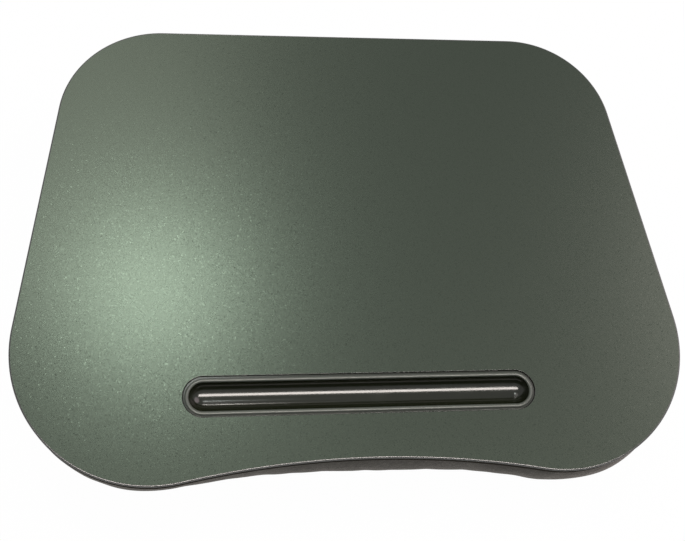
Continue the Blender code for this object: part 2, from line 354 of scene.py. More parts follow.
class Recipe(Graph):
    """A material's nodes round its Principled shader."""

    def __init__(self, name: str) -> None:
        """Starts a material of this name."""
        self.material = bpy.data.materials.new(name)
        super().__init__(self.material)
        self.shader = self.tree.nodes["Principled BSDF"]
        self.place = self.add("ShaderNodeTexCoord").outputs["Object"]

    def set_shader(self, **inputs: object) -> None:
        """Sets or links the Principled shader's inputs."""
        for name, value in inputs.items():
            self.feed(self.shader.inputs[name.replace("_", " ")], value)

    def noise(
        self, size: float, detail: float = 2.0, rough: float = 0.5, **more: object
    ) -> Socket:
        """Noise over the surface.

        Args:
            size: About how large its features are, in metres.
            detail: How many finer layers it has.
            rough: How strong these are.
            **more: Other inputs of the node.

        Returns:
            A value that stays mostly between 0.3 and 0.7.
        """
        inputs = {"Vector": self.place, "Scale": 1 / size, "Detail": detail, "Roughness": rough}
        return self.add("ShaderNodeTexNoise", **inputs, **more).outputs["Fac"]

    def cells(self, size: float) -> bpy.types.Node:
        """Voronoi cells of about this size in metres."""
        return self.add("ShaderNodeTexVoronoi", Vector=self.place, Scale=1 / size)

    def vector(self, operation: str, first: object, **more: object) -> Socket:
        """The result of an operation on vectors.

        Args:
            operation: Blender's name for the operation.
            first: The first vector or socket.
            **more: The second one as other, or a number as scale.

        Returns:
            The resulting vector.
        """
        node = self.tree.nodes.new("ShaderNodeVectorMath")
        node.operation = operation
        self.feed(node.inputs[0], first)
        if "other" in more:
            self.feed(node.inputs[1], more["other"])
        if "scale" in more:
            self.feed(node.inputs["Scale"], more["scale"])
        return node.outputs["Vector"]

    def blend(self, factor: object, first: object, second: object) -> Socket:
        """A colour between two.

        Args:
            factor: The second colour's share.
            first: The first colour or socket.
            second: The second colour or socket.

        Returns:
            The blended colour.
        """
        node = self.tree.nodes.new("ShaderNodeMix")
        node.data_type = "RGBA"
        colours = [socket for socket in node.inputs if socket.type == "RGBA"]
        self.feed(node.inputs[0], factor)
        self.feed(colours[0], first)
        self.feed(colours[1], second)
        return next(socket for socket in node.outputs if socket.type == "RGBA")

    def two_tone(self, pattern: Socket, first: tuple, second: tuple) -> Socket:
        """A colour that goes from one to another over the middle of a noise pattern."""
        return self.blend(self.remap(pattern, MIDDLE_TONES, (0, 1)), first, second)

    def bump(self, height: Socket, depth: float, normal: object = None) -> Socket:
        """A bumped normal.

        Args:
            height: The bump's height, from 0 to 1.
            depth: How much that is in metres.
            normal: A normal that is bumped already.

        Returns:
            The normal.
        """
        node = self.add("ShaderNodeBump", Strength=1.0, Distance=depth, Height=height)
        if normal is not None:
            self.feed(node.inputs["Normal"], normal)
        return node.outputs["Normal"]


@dataclass(frozen=True)
class GraphiteFilm:
    """The board's satin film: a dark metallic print whose flakes glitter in the lamp's glow."""

    base: tuple = (0.0428, 0.0532, 0.0410, 1.0)
    deep: tuple = (0.0420, 0.0524, 0.0402, 1.0)
    metallic: float = 0.85
    roughness: float = 0.265
    flake_size: float = 0.00055
    flake_spread: float = 0.0118
    flake_tilt: float = 0.0085
    spark_share: float = 0.07
    spark_gain: float = 0.032
    spark_tilt: float = 0.035
    mottle_size: float = 0.0016

    def make(self) -> Material:
        """Builds the material.

        Returns:
            The material.
        """
        recipe = Recipe("graphite_film")
        mottle = recipe.noise(self.mottle_size, detail=3, rough=0.65)
        colour = recipe.two_tone(mottle, self.deep, self.base)
        flakes = recipe.cells(self.flake_size).outputs["Color"]
        polish = recipe.add("ShaderNodeSeparateColor", Color=flakes).outputs["Blue"]
        span = (self.roughness + self.flake_spread, self.roughness - self.flake_spread)
        spark = recipe.math("GREATER_THAN", polish, 1 - self.spark_share)
        gain = recipe.math("MULTIPLY", spark, self.spark_gain)
        roughness = recipe.math("SUBTRACT", recipe.remap(polish, (0, 1), span), gain)
        tilt = self.flake_normal(recipe, flakes, spark)
        recipe.set_shader(Base_Color=colour, Metallic=self.metallic, Roughness=roughness, Normal=tilt)
        return recipe.material

    def flake_normal(self, recipe: Recipe, flakes: Socket, spark: Socket) -> Socket:
        """Tips the surface another way in each flake, and further in the bright ones.

        Args:
            recipe: The film's nodes.
            flakes: A random colour for each flake.
            spark: One in the bright flakes and zero in the others.

        Returns:
            The tipped normal.
        """
        centred = recipe.vector("SUBTRACT", flakes, other=(0.5, 0.5, 0.5))
        reach = recipe.remap(spark, (0, 1), (2 * self.flake_tilt, 2 * self.spark_tilt))
        normal = recipe.add("ShaderNodeNewGeometry").outputs["Normal"]
        tipped = recipe.vector("ADD", normal, other=recipe.vector("SCALE", centred, scale=reach))
        return recipe.vector("NORMALIZE", tipped)


@dataclass(frozen=True)
class TrayPlastic:
    """The pen tray's moulded plastic: a fine satin texture on the rim, gloss in the trough, and the rim
    coloured lighter than the trough of the same plastic as painted light.
    """

    colour: tuple = (0.008, 0.010, 0.004, 1.0)
    # painted light: the rim above edge_height is coloured lighter than the dark trough of the same plastic
    rim_painted_light_colour: tuple = (0.060, 0.069, 0.055, 1.0)
    satin_roughness: float = 0.40
    gloss_roughness: float = 0.16
    grain_size: float = 0.0005
    grain_depth: float = 0.00001
    edge_height: float = 0.0594
    edge_blend: float = 0.0004
    smear_size: float = 0.012
    smear_tones: tuple = (0.4, 0.75)
    smear_roughness: float = 0.05
    specular: float = 0.33

    def make(self) -> Material:
        """Builds the material.

        Returns:
            The material.
        """
        recipe = Recipe("tray_plastic")
        height = recipe.add("ShaderNodeSeparateXYZ", Vector=recipe.place).outputs["Z"]
        span = (self.edge_height - self.edge_blend, self.edge_height + self.edge_blend)
        satin_and_painted_light = recipe.remap(height, span, (0, 1))
        grain = recipe.noise(self.grain_size, detail=2)
        # painted light: above edge_height the plastic takes the lighter rim colour, below it keeps the
        # trough's dark one
        colour = recipe.blend(satin_and_painted_light, self.colour, self.rim_painted_light_colour)
        smears = recipe.noise(self.smear_size, detail=3)
        gloss = recipe.remap(smears, self.smear_tones, (0, self.smear_roughness))
        gloss = recipe.math("ADD", gloss, self.gloss_roughness)
        duller = recipe.math("MULTIPLY", satin_and_painted_light, self.satin_roughness - self.gloss_roughness)
        normal = recipe.bump(recipe.math("MULTIPLY", grain, satin_and_painted_light), self.grain_depth)
        recipe.set_shader(Base_Color=colour, Roughness=recipe.math("ADD", gloss, duller))
        recipe.set_shader(Normal=normal, Specular_IOR_Level=self.specular)
        return recipe.material


@dataclass(frozen=True)
class FilmEdge:
    """The film where it is drawn tight over the board's rim, smooth and without its flakes."""

    colour: tuple = (0.026, 0.027, 0.024, 1.0)
    roughness: float = 0.30

    def make(self) -> Material:
        """Builds the material.

        Returns:
            The material.
        """
        recipe = Recipe("film_edge")
        recipe.set_shader(Base_Color=self.colour, Roughness=self.roughness)
        return recipe.material


@dataclass(frozen=True)
class Fibreboard:
    """Pressed fibres in two tones, a little raised: bare, or near black on the board's sides as painted
    shade.
    """

    name: str
    dark: tuple
    light: tuple
    fibre_size: float
    fibre_depth: float
    fibre_detail: float
    fibre_rough: float
    fibre_swirl: float
    specular: float
    roughness: float = 0.8

    def make(self) -> Material:
        """Builds the material.

        Returns:
            The material.
        """
        recipe = Recipe(self.name)
        swirl = {"Distortion": self.fibre_swirl}
        fibre = recipe.noise(self.fibre_size, self.fibre_detail, self.fibre_rough, **swirl)
        colour = recipe.two_tone(fibre, self.dark, self.light)
        recipe.set_shader(Base_Color=colour, Normal=recipe.bump(fibre, self.fibre_depth))
        recipe.set_shader(Roughness=self.roughness, Specular_IOR_Level=self.specular)
        return recipe.material


# painted shade: the board's sides below the film are coloured near black, without specular, for the shade
# under the rim
EDGE_PAINTED_SHADE = Fibreboard(
    name="edge_paint",
    dark=(0.018, 0.017, 0.013, 1.0),
    light=(0.034, 0.032, 0.026, 1.0),
    fibre_size=0.0012,
    fibre_depth=0.00008,
    fibre_detail=5,
    fibre_rough=0.7,
    fibre_swirl=0.0,
    specular=0.0,
)
HARDBOARD = Fibreboard(
    name="hardboard",
    dark=(0.150, 0.088, 0.047, 1.0),
    light=(0.290, 0.185, 0.105, 1.0),
    fibre_size=0.0015,
    fibre_depth=0.00012,
    fibre_detail=6,
    fibre_rough=0.75,
    fibre_swirl=1.2,
    specular=0.5,
)


@dataclass(frozen=True)
class CoverFabric:
    """Charcoal brushed fabric: heathered yarn, a felted nap and a soft sheen at grazing angles."""

    dark: tuple = (0.020, 0.0195, 0.015, 1.0)
    light: tuple = (0.040, 0.0385, 0.031, 1.0)
    stray: tuple = (0.17, 0.16, 0.145, 1.0)
    heather_size: float = 0.0028
    nap_size: float = 0.0007
    nap_depth: float = 0.00025
    stray_tones: tuple = (0.62, 0.74)
    stray_share: float = 0.6
    lump_size: float = 0.004
    lump_depth: float = 0.0003
    roughness: float = 0.92
    specular: float = 0.25
    sheen: float = 0.42
    sheen_roughness: float = 0.45
    sheen_tint: tuple = (0.80, 0.76, 0.70, 1.0)

    def make(self) -> Material:
        """Builds the material.

        Returns:
            The material.
        """
        recipe = Recipe("cover_fabric")
        nap = recipe.noise(self.nap_size, detail=4, rough=0.7, Distortion=0.6)
        heather = recipe.noise(self.heather_size, detail=3, rough=0.6)
        colour = recipe.two_tone(heather, self.dark, self.light)
        fibres = recipe.remap(nap, self.stray_tones, (0, self.stray_share))
        colour = recipe.blend(fibres, colour, self.stray)
        lumps = recipe.bump(recipe.noise(self.lump_size, detail=2), self.lump_depth)
        recipe.set_shader(Base_Color=colour, Normal=recipe.bump(nap, self.nap_depth, lumps))
        recipe.set_shader(Roughness=self.roughness, Specular_IOR_Level=self.specular)
        recipe.set_shader(Sheen_Weight=self.sheen, Sheen_Roughness=self.sheen_roughness)
        recipe.set_shader(Sheen_Tint=self.sheen_tint)
        return recipe.material


@dataclass(frozen=True)
class Liner:
    """The fill bag's thin off-white liner cloth, with the beads showing through as small bumps."""

    cloth: tuple = (0.62, 0.61, 0.58, 1.0)
    shade: tuple = (0.52, 0.51, 0.48, 1.0)
    bead_size: float = 0.004
    bead_depth: float = 0.0006
    thread_size: float = 0.0005
    roughness: float = 0.85

    def make(self) -> Material:
        """Builds the material.

        Returns:
            The material.
        """
        recipe = Recipe("bag_liner")
        beads = recipe.cells(self.bead_size).outputs["Distance"]
        threads = recipe.noise(self.thread_size, detail=2)
        colour = recipe.two_tone(threads, self.shade, self.cloth)
        normal = recipe.bump(beads, -self.bead_depth)
        recipe.set_shader(Base_Color=colour, Roughness=self.roughness, Normal=normal)
        return recipe.material


@dataclass(frozen=True)
class FoamTape:
    """White closed-cell foam tape, with painted shade darkening the sunken edges of its cells."""

    skin: tuple = (0.70, 0.69, 0.65, 1.0)
    # painted shade: the colour of the sunken cell edges
    pit_shade: tuple = (0.52, 0.51, 0.47, 1.0)
    cell_size: float = 0.0009
    cell_depth: float = 0.00010
    cell_tones: tuple = (0.1, 0.6)
    roughness: float = 0.7

    def make(self) -> Material:
        """Builds the material.

        Returns:
            The material.
        """
        recipe = Recipe("foam_tape")
        cells = recipe.cells(self.cell_size).outputs["Distance"]
        # painted shade: darker where the bump sinks between the cells
        colour = recipe.blend(recipe.remap(cells, self.cell_tones, (0, 1)), self.skin, self.pit_shade)
        recipe.set_shader(Base_Color=colour, Normal=recipe.bump(cells, -self.cell_depth))
        recipe.set_shader(Roughness=self.roughness)
        return recipe.material


@dataclass(frozen=True)
class Arc:
    """A circular stretch of the outline, from one angle to another."""

    centre: Vector
    radius: float
    start: float
    end: float

    def point(self, share: float) -> Vector:
        """The point at a share of the way along."""
        angle = self.start + (self.end - self.start) * share
        return self.centre + self.radius * Vector((math.cos(angle), math.sin(angle)))

    def length(self) -> float:
        """How long the stretch is."""
        return abs(self.end - self.start) * self.radius


@dataclass(frozen=True)
class Station:
    """A point on the outline, the way out from it, and how far the cushion bulges there."""

    point: Vector
    normal: Vector
    bulge: float


@dataclass
class BoardOutline:
    """The board's shape from above: large back corners, rounder front lobes and a belly curve."""

    width: float = 0.380
    depth: float = 0.276
    back_straight: float = 0.218
    corner_radius: float = 0.061
    lobe_radius: float = 0.0770
    belly_depth: float = 0.0107
    facet: float = 0.0022
    belly_bulge: float = 0.0099
    lobe_bulge: float = 0.0077
    lobe_side_bulge: float = 0.0103
    side_bulge: float = 0.0080
    corner_bulge: float = 0.0072
    back_bulge: float = 0.0082

    def arcs(self, inset: float = 0.0) -> list[Arc]:
        """The right half's corner, lobe and belly arcs, clockwise from the back.

        Args:
            inset: How far inside the board's edge they run.

        Returns:
            The three arcs. Straights join the first to the middle of the back and to the second.
        """
        back = self.depth / 2
        corner = Vector((self.back_straight / 2, back - self.corner_radius))
        lobe = Vector((self.width / 2 - self.lobe_radius, self.lobe_radius - back))
        apart = corner - lobe
        drop = self.lobe_radius - self.corner_radius
        side = math.atan2(apart.y, apart.x) - math.acos(drop / apart.length)
        belly_radius = (lobe.x**2 + self.belly_depth**2) / (2 * self.belly_depth) - self.lobe_radius
        belly = Vector((0, self.belly_depth - back - belly_radius))
        join = math.atan2(lobe.y - belly.y, lobe.x)
        return [
            Arc(corner, self.corner_radius - inset, math.pi / 2, side),
            Arc(lobe, self.lobe_radius - inset, side, join - math.pi),
            Arc(belly, belly_radius + inset, join, math.pi / 2),
        ]

    def draw(self, name: str, inset: float, height: float) -> Piece:
        """Draws the outline as one flat face, in edit mode.

        Args:
            name: The new object's name.
            inset: How far inside the board's edge the outline runs.
            height: The face's height.

        Returns:
            The new object.
        """
        middle_back = Vector((0, self.depth / 2 - inset))
        piece = add_point(name, middle_back.to_3d() + height * UP)
        here = middle_back
        for arc in self.arcs(inset):
            gap = arc.point(0) - here
            if gap.length > MERGE_DISTANCE:
                draw_line(gap.to_3d())
            steps = max(2, round(arc.length() / self.facet))
            draw_arc(arc.centre.to_3d() + height * UP, arc.end - arc.start, steps)
            here = arc.point(1)
        pick_all()
        bpy.ops.mesh.duplicate()
        bpy.ops.transform.resize(value=(-1, 1, 1), center_override=(0, 0, 0))
        fill_outline()
        return piece

    def stations(self, spacing: float) -> list[Station]:
        """Evenly spaced points round the whole outline, clockwise from the middle of the back.

        Args:
            spacing: About how far apart they are.

        Returns:
            The stations.
        """
        corner, lobe, belly = self.arcs()
        right = self.straight_stations(Vector((0, self.depth / 2)), corner.point(0), spacing)
        right += self.arc_stations(corner, spacing, (self.back_bulge, self.corner_bulge, self.side_bulge))
        right += self.straight_stations(corner.point(1), lobe.point(0), spacing)
        right += self.arc_stations(lobe, spacing, (self.side_bulge, self.lobe_side_bulge, self.lobe_bulge))
        right += self.arc_stations(belly, spacing, (self.lobe_bulge, self.belly_bulge), hollow=True)
        right.append(Station(belly.point(1), Vector((0, -1)), self.belly_bulge))
        left = [
            Station(Vector((-s.point.x, s.point.y)), Vector((-s.normal.x, s.normal.y)), s.bulge)
            for s in right[-2:0:-1]
        ]
        return right + left

    def straight_stations(self, start: Vector, end: Vector, spacing: float) -> list[Station]:
        """Stations along a straight, without its last point.

        Args:
            start: Where it starts.
            end: Where it ends.
            spacing: The distance between stations.

        Returns:
            The stations.
        """
        along = (end - start).normalized()
        normal = Vector((-along.y, along.x))
        bulge = self.back_bulge if normal.x < normal.y else self.side_bulge
        count = max(2, round((end - start).length / spacing))
        return [Station(start.lerp(end, step / count), normal, bulge) for step in range(count)]

    def arc_stations(
        self, arc: Arc, spacing: float, bulges: tuple[float, ...], hollow: bool = False
    ) -> list[Station]:
        """Stations along an arc, without its last point.

        Args:
            arc: The stretch.
            spacing: The distance between stations.
            bulges: The bulges to ease through, evenly spread along the stretch.
            hollow: Whether the outline curves in there.

        Returns:
            The stations.
        """
        count = max(2, round(arc.length() / spacing))
        made = []
        for step in range(count):
            place = step / count * (len(bulges) - 1)
            lower = min(int(place), len(bulges) - 2)
            bulge = bulges[lower] + (bulges[lower + 1] - bulges[lower]) * smoothstep(place - lower)
            point = arc.point(step / count)
            normal = (point - arc.centre).normalized() * (-1 if hollow else 1)
            made.append(Station(point, normal, bulge))
        return made


@dataclass
class TrayShape:
    """The pen tray's slot shape from above, with round ends."""

    board_depth: float
    length: float = 0.1965
    width: float = 0.0224
    setback: float = 0.0469
    turn: float = math.radians(-0.25)
    end_steps: int = 40

    def axis(self) -> tuple[Vector, Vector]:
        """The line between the centres of the round ends.

        Returns:
            The slot's middle, and the way from there to the centre of its right end.
        """
        along = Vector((self.length / 2 - self.width / 2, 0, 0))
        along.rotate(Matrix.Rotation(self.turn, 3, "Z"))
        return Vector((0, self.setback - self.board_depth / 2, 0)), along

    def reach(self, point: Vector) -> float:
        """How far a point is from the slot's axis, seen from above.

        Args:
            point: The point.

        Returns:
            The distance.
        """
        middle, along = self.axis()
        offset = (point - middle) * Vector((1, 1, 0))
        past = max(abs(offset.dot(along.normalized())) - along.length, 0)
        return math.hypot(past, offset.cross(along.normalized()).length)

    def draw(self, name: str, inset: float, height: float) -> Piece:
        """Draws the slot shape as one flat face, in edit mode.

        Args:
            name: The new object's name.
            inset: How far inside the shape the outline runs.
            height: The face's height.

        Returns:
            The new object.
        """
        middle, along = self.axis()
        middle.z = height
        side = UP.cross(along.normalized()) * (self.width / 2 - inset)
        piece = add_point(name, middle + along - side)
        draw_arc(middle + along, math.pi, self.end_steps)
        draw_line(-2 * along)
        draw_arc(middle - along, math.pi, self.end_steps)
        draw_line(2 * along)
        fill_outline()
        return piece


@dataclass
class Board:
    """The writing board: film-wrapped fibreboard with a rounded rim and a rebated tray slot."""

    outline: BoardOutline
    shape: TrayShape
    bottom: float = 0.054
    top: float = 0.060
    rim_round: float = 0.0010
    under_round: float = 0.0003
    rim_steps: int = 6
    under_steps: int = 2
    seat_gap: float = 0.0002
    rebate_floor: float = 0.0580
    rebate_reach: float = 0.0021
    slot_round: float = 0.0001
    slot_steps: int = 2
    overrun: float = 0.002
    film_wrap: float = 0.0009

    def build(self, finishes: list[Material]) -> Piece:
        """Draws the board, rounds its rim and cuts its slot.

        Args:
            finishes: The face's film, the film on the rim and the near-black painted shade below it.

        Returns:
            The board.
        """
        board = self.outline.draw("board", 0, self.bottom)
        pick_all()
        raise_faces(self.top - self.bottom)
        turn_out()
        self.round_rim(board, self.top, self.rim_round, self.rim_steps)
        self.round_rim(board, self.bottom, self.under_round, self.under_steps)
        face_out()
        cutter = self.slot_cutter()
        apply_modifier(board, "BOOLEAN", operation="DIFFERENCE", solver="EXACT", object=cutter)
        bpy.data.objects.remove(cutter)
        self.round_slot(board)
        bpy.ops.object.shade_smooth_by_angle(angle=SMOOTH_ANGLE)
        apply_modifier(board, "WEIGHTED_NORMAL", keep_sharp=True)
        coat(board, *finishes)
        face_end = self.top - MERGE_DISTANCE
        film_end = self.top - self.film_wrap
        # index 0 is the film, 1 the film on the rim and 2 the near-black painted shade on the sides and
        # underside
        for polygon in board.data.polygons:
            height = polygon.center.z
            polygon.material_index = int(height < face_end) + int(height < film_end)
        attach(board, BODY)
        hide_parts("desk_board")
        return board

    def round_rim(self, board: Piece, height: float, width: float, steps: int) -> None:
        """Bevels the outline's edges at one height.

        Args:
            board: The board.
            height: The edges' height.
            width: How far the bevel reaches.
            steps: How many facets it has.
        """
        pick(board, Part.EDGE, lambda edge: all(abs(v.co.z - height) < MERGE_DISTANCE for v in edge.verts))
        bpy.ops.mesh.bevel(offset=width, segments=steps, affect="EDGES")

    def slot_cutter(self) -> Piece:
        """Draws what is cut out of the board.

        Returns:
            A stepped solid: the rebate for the ledge and the slot for the trough.
        """
        cutter = self.shape.draw("slot_cutter", -self.seat_gap, self.top + self.overrun)
        pick_all()
        raise_faces(self.rebate_floor - self.top - self.overrun)
        bpy.ops.mesh.inset(thickness=self.rebate_reach, depth=0)
        raise_faces(self.bottom - self.overrun - self.rebate_floor)
        face_out()
        return cutter

    def round_slot(self, board: Piece) -> None:
        """Eases the film's edge where it turns down into the rebate.

        Args:
            board: The board, with its slot cut.
        """
        open_mesh(board)

        def at_slot(edge: Edge) -> bool:
            """Whether the edge runs round the slot's upper rim."""
            at_top = all(abs(v.co.z - self.top) < MERGE_DISTANCE for v in edge.verts)
            return at_top and any(abs(face.normal.z) < STEEP for face in edge.link_faces)

        pick(board, Part.EDGE, at_slot)
        bpy.ops.mesh.bevel(offset=self.slot_round, segments=self.slot_steps, affect="EDGES")
        close_mesh()


@dataclass
class PenTray:
    """The moulded insert: a raised bead round a half-round trough with ball ends."""

    shape: TrayShape
    ledge_top: float = 0.0592
    ledge_bottom: float = 0.0583
    ledge_width: float = 0.0010
    edge_round: float = 0.0002
    edge_steps: int = 3
    bead_height: float = 0.0012
    bead_steps: int = 16
    reach: float = 0.0033
    floor: float = 0.0518
    wall: float = 0.0012
    trough_steps: int = 26
    under_steps: int = 12
    last_share: float = 0.05

    def build(self, plastic: Material) -> Piece:
        """Draws the tray's rim, sinks its trough from both sides and dresses it.

        Args:
            plastic: The tray's material.

        Returns:
            The tray.
        """
        tray = self.shape.draw("pen_trough", 0, self.ledge_bottom)
        pick_all()
        raise_faces(self.ledge_top - self.ledge_bottom)
        turn_out()
        pick(tray, Part.FACE, lambda face: face.normal.z > STEEP)
        sink_profile(self.inside_profile())
        pick(tray, Part.FACE, lambda face: face.normal.z < -STEEP and len(face.verts) > QUAD)
        sink_profile(self.outside_profile())
        self.round_edge(tray)
        face_out()
        coat(tray, plastic)
        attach(tray, BODY)
        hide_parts("pen_tray")
        return tray

    def inside_profile(self) -> list[tuple[float, float]]:
        """The ledge, the bead and the trough.

        Returns:
            Steps of (inset, height over the ledge's top).
        """
        made = [(self.ledge_width, 0.0)]
        half_bead = (self.reach - self.ledge_width) / 2
        for step in range(1, self.bead_steps + 1):
            angle = math.pi * step / self.bead_steps
            across = self.ledge_width + half_bead * (1 - math.cos(angle))
            made.append((across, self.bead_height * math.sin(angle)))
        half_width = self.shape.width / 2 - self.reach
        deep = self.ledge_top - self.floor
        for step in range(1, self.trough_steps + 1):
            angle = math.pi / 2 * (1 - self.last_share) * step / self.trough_steps
            made.append((self.reach + half_width * (1 - math.cos(angle)), -deep * math.sin(angle)))
        return made

    def outside_profile(self) -> list[tuple[float, float]]:
        """The ledge's underside and the trough's outside.

        Returns:
            Steps of (inset, distance under the ledge's bottom).
        """
        start = self.reach - self.wall
        half_width = self.shape.width / 2 - start
        deep = self.ledge_bottom - self.floor + self.wall
        made = [(start, 0.0)]
        for step in range(1, self.under_steps + 1):
            angle = math.pi / 2 * (1 - self.last_share) * step / self.under_steps
            made.append((start + half_width * (1 - math.cos(angle)), deep * math.sin(angle)))
        return made

    def round_edge(self, tray: Piece) -> None:
        """Rounds the ledge's outer edge.

        Args:
            tray: The tray, in edit mode.
        """
        rim = self.shape.width / 2 - MERGE_DISTANCE

        def on_rim(vert: bmesh.types.BMVert) -> bool:
            """Whether the vertex is on the ledge's upper outer edge."""
            at_top = abs(vert.co.z - self.ledge_top) < MERGE_DISTANCE
            return at_top and self.shape.reach(vert.co) > rim

        pick(tray, Part.EDGE, lambda edge: all(on_rim(v) for v in edge.verts))
        bpy.ops.mesh.bevel(offset=self.edge_round, segments=self.edge_steps, affect="EDGES")


class Panel(Enum):
    """The cover's panels, and the skin's open top, which is cut away."""

    FRONT_BAND = 0
    REAR_BAND = 1
    BOTTOM = 2
    TOP = 3


@dataclass(frozen=True)
class SkinRow:
    """One row of the cushion's skin round the outline."""

    inset: float
    height: float
    share: float
    hold: float


@dataclass
class Cushion:
    """The bead-filled cushion under the board: two side bands and a bottom panel round a bag."""

    outline: BoardOutline
    spacing: float = 0.0036
    hem_top: float = 0.0537
    hem_inset: float = 0.024
    hem_middle: float = 0.0165
    wrap_inset: float = 0.0075
    wrap_radius: float = 0.0015
    wrap_steps: int = 3
    band_top: float = 0.0492
    seam_height: float = 0.010
    seam_inset: float = 0.010
    seam_lip: float = 0.0015
    seam_pinch: float = 0.0006
    seam_hold: float = 0.3
    seam_reach: float = 0.006
    foot_reach: float = 0.030
    base_inset: float = 0.052
    bulge_power: float = 0.8
    hold_fade: float = 6.0
    band_steps: int = 13
    foot_steps: int = 9
    fabric: float = 0.0011
    bag_inset: float = 0.0015
    bag_top: float = 0.0486
    start_share: float = 0.96
    travel: float = 0.0045
    taut_share: float = 0.22
    taut_height: float = 0.028
    taut_blend: float = 0.016
    pressure: float = 4.0
    slack: float = 0.02
    cloth_mass: float = 0.3
    stretch_stiffness: float = 12.0
    bend_stiffness: float = 0.15
    cloth_quality: int = 6
    frames: int = 20
    jitter: float = 0.0004
    jitter_scale: float = 90.0
    jitter_seed: int = 2
    lean: float = 0.0018
    skew: float = math.radians(-0.73)
    loose_depth: float = 0.016
    mean_radius: float = 0.19
    pucker: float = 0.0011
    pucker_length: float = 0.016
    pucker_drift: float = 20.0
    pucker_seed: float = 3.7
    wrinkle: float = 0.0011
    wrinkle_scale: float = 34.0
    wrinkle_drift: float = 46.0
    free_depth: float = 0.012
    uneven_reach: tuple = (
        (-0.14, 0.0), (-0.075, 0.0006), (-0.03, 0.0003), (0.05, 0.0002), (0.105, -0.0006), (0.14, 0.0)
    )

    def rows(self) -> list[SkinRow]:
        """Lays out the skin's profile.

        Returns:
            The rows, from the hem under the board down to the flat base.
        """
        made = [SkinRow(inset, self.hem_top, 0, 1) for inset in (self.hem_inset, self.hem_middle)]
        for step in range(self.wrap_steps + 1):
            angle = math.pi / 2 * step / self.wrap_steps
            inset = self.wrap_inset + self.wrap_radius * (1 - math.sin(angle))
            height = self.hem_top - self.wrap_radius * (1 - math.cos(angle))
            made.append(SkinRow(inset, height, 0, 1))
        low = self.seam_height + self.seam_lip
        for step in range(self.band_steps + 1):
            share = step / self.band_steps
            inset = self.wrap_inset + (self.seam_inset - self.wrap_inset) * share
            height = self.band_top + (low - self.band_top) * share
            out = math.sin(math.pi * share) ** self.bulge_power
            made.append(SkinRow(inset, height, out, max(0.0, 1 - self.hold_fade * share)))
        made.append(SkinRow(self.seam_inset + self.seam_pinch, self.seam_height, 0, self.seam_hold))
        lip = self.seam_height - self.seam_lip
        for step in range(self.foot_steps + 1):
            angle = math.pi / 2 * step / self.foot_steps
            inset = self.seam_inset + self.foot_reach * (1 - math.cos(angle))
            made.append(SkinRow(inset, lip * (1 - math.sin(angle)), 0, step / self.foot_steps))
        made.append(SkinRow(self.base_inset, 0, 0, 1))
        return made

    def build(self, fabric: Material, liner: Material) -> list[Piece]:
        """Makes the skin, fills it, works in its seam and cuts it into the cover's panels and the bag.

        Args:
            fabric: The cover's material.
            liner: The bag's material.

        Returns:
            The panels and the bag.
        """
        rows, stations = self.rows(), self.outline.stations(self.spacing)
        skin = self.make_skin(rows, stations)
        self.fill_out(skin, rows, stations)
        self.work_seam(skin)
        self.open_caps(skin)
        apply_modifier(skin, "SUBSURF", levels=1, render_levels=1)
        self.close_base(skin)
        bag = self.cut_bag(skin, liner)
        panels = self.cut_panels(skin, fabric)
        return [*panels, bag]

    def place(self, row: SkinRow, station: Station, scale: float) -> Vector:
        """Where a row passes a station.

        Args:
            row: The row.
            station: The station.
            scale: The share of its bulge that the skin starts with.

        Returns:
            The point.
        """
        out = row.share * (station.bulge * scale + self.extra_reach(station))
        flat = station.point - station.normal * (row.inset - out)
        loose = smoothstep((self.wrap_top() - row.height) / self.loose_depth)
        askew = flat.copy()
        askew.rotate(Matrix.Rotation(self.skew * loose, 2))
        return Vector((askew.x + self.lean * loose, askew.y, row.height))

    def extra_reach(self, station: Station) -> float:
        """How much more or less the hand-filled front reaches out somewhere.

        Args:
            station: The station.

        Returns:
            The difference from the even bulge.
        """
        for (start, low), (end, high) in zip(self.uneven_reach, self.uneven_reach[1:]):
            if station.normal.y < 0 and start <= station.point.x < end:
                return low + (high - low) * smoothstep((station.point.x - start) / (end - start))
        return 0.0

    def wrap_top(self) -> float:
        """The height under which the cover is free of the board."""
        return self.hem_top - self.wrap_radius

    def make_skin(self, rows: list[SkinRow], stations: list[Station]) -> Piece:
        """Builds the closed skin as rows of quads, each face marked with its panel.

        Args:
            rows: The skin's rows, from the hem down.
            stations: The outline's stations.

        Returns:
            The skin.
        """
        mesh_data = bmesh.new()
        scale = self.start_share
        grid = [[mesh_data.verts.new(self.place(row, s, scale)) for s in stations] for row in rows]
        count = len(stations)
        seam_row = next(level for level, row in enumerate(rows) if row.height <= self.seam_height)
        join = min(range(count // 2), key=lambda n: abs(stations[n].point.y - self.join_y()))
        for level, (upper, lower) in enumerate(zip(grid, grid[1:])):
            for here in range(count):
                after = (here + 1) % count
                face = mesh_data.faces.new((upper[here], upper[after], lower[after], lower[here]))
                if level >= seam_row:
                    face.material_index = Panel.BOTTOM.value
                elif join <= here < count - join:
                    face.material_index = Panel.FRONT_BAND.value
                else:
                    face.material_index = Panel.REAR_BAND.value
        top = mesh_data.faces.new(grid[0])
        top.material_index = Panel.TOP.value
        base = mesh_data.faces.new(grid[-1])
        base.material_index = Panel.BOTTOM.value
        bmesh.ops.recalc_face_normals(mesh_data, faces=mesh_data.faces)
        data = bpy.data.meshes.new("cushion_skin")
        mesh_data.to_mesh(data)
        mesh_data.free()
        data.shade_smooth()
        for panel in Panel:
            data.materials.append(bpy.data.materials.new("panel_" + panel.name.lower()))
        skin = bpy.data.objects.new("cushion_skin", data)
        bpy.context.scene.collection.objects.link(skin)
        return skin

    def join_y(self) -> float:
        """Where the two bands meet, half way along the board's straight sides."""
        corner, lobe, _ = self.outline.arcs()
        return (corner.point(1).y + lobe.point(0).y) / 2

